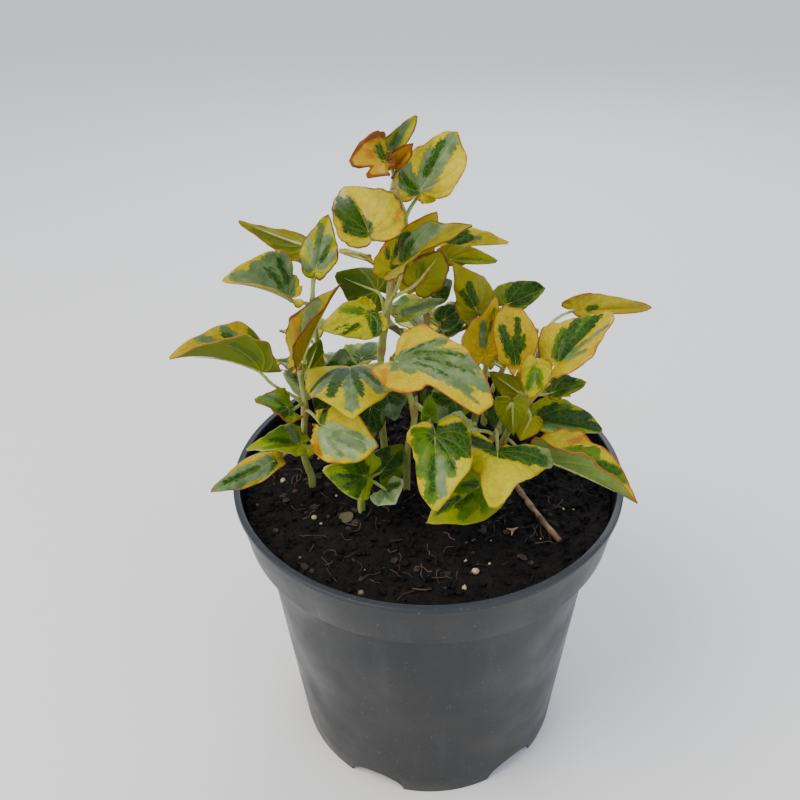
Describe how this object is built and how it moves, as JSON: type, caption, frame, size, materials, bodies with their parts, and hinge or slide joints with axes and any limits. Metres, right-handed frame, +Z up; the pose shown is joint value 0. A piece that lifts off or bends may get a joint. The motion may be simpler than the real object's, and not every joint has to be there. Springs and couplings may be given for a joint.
{
  "type": "potted chameleon plant",
  "caption": "Bushy houseplant with heart-shaped leaves in green, cream-yellow and red on upright stems, growing from dark compost in a round black nursery pot.",
  "frame": {"origin": "middle of the pot's foot, at the height it stands on, which is also the middle of the whole plant's box seen from above", "axes": "+Z up; -Y towards the viewer, the side the plant shows in the picture; +X to the viewer's right"},
  "size_m": [0.1953, 0.1711, 0.2949],
  "materials": {
    "pot_black": "satin black moulded plastic with dust",
    "compost": "damp dark peat compost",
    "dry_stalk": "dry brown stalk",
    "leaf_green": "living leaf, soft sheen"
  },
  "bodies": {
    "root": {"pot": "pot_black", "soil": "compost", "dead_stalk": "dry_stalk", "stem_crown": "leaf_green", "stem_centre_left": "leaf_green", "stem_left": "leaf_green", "stem_middle_left": "leaf_green", "stem_front_left": "leaf_green", "stem_front": "leaf_green", "stem_front_right": "leaf_green", "stem_right": "leaf_green", "stem_right_back": "leaf_green", "stem_back_centre": "leaf_green", "stem_back_left": "leaf_green", "stem_back": "leaf_green", "stem_back_right": "leaf_green"}
  },
  "joints": []
}
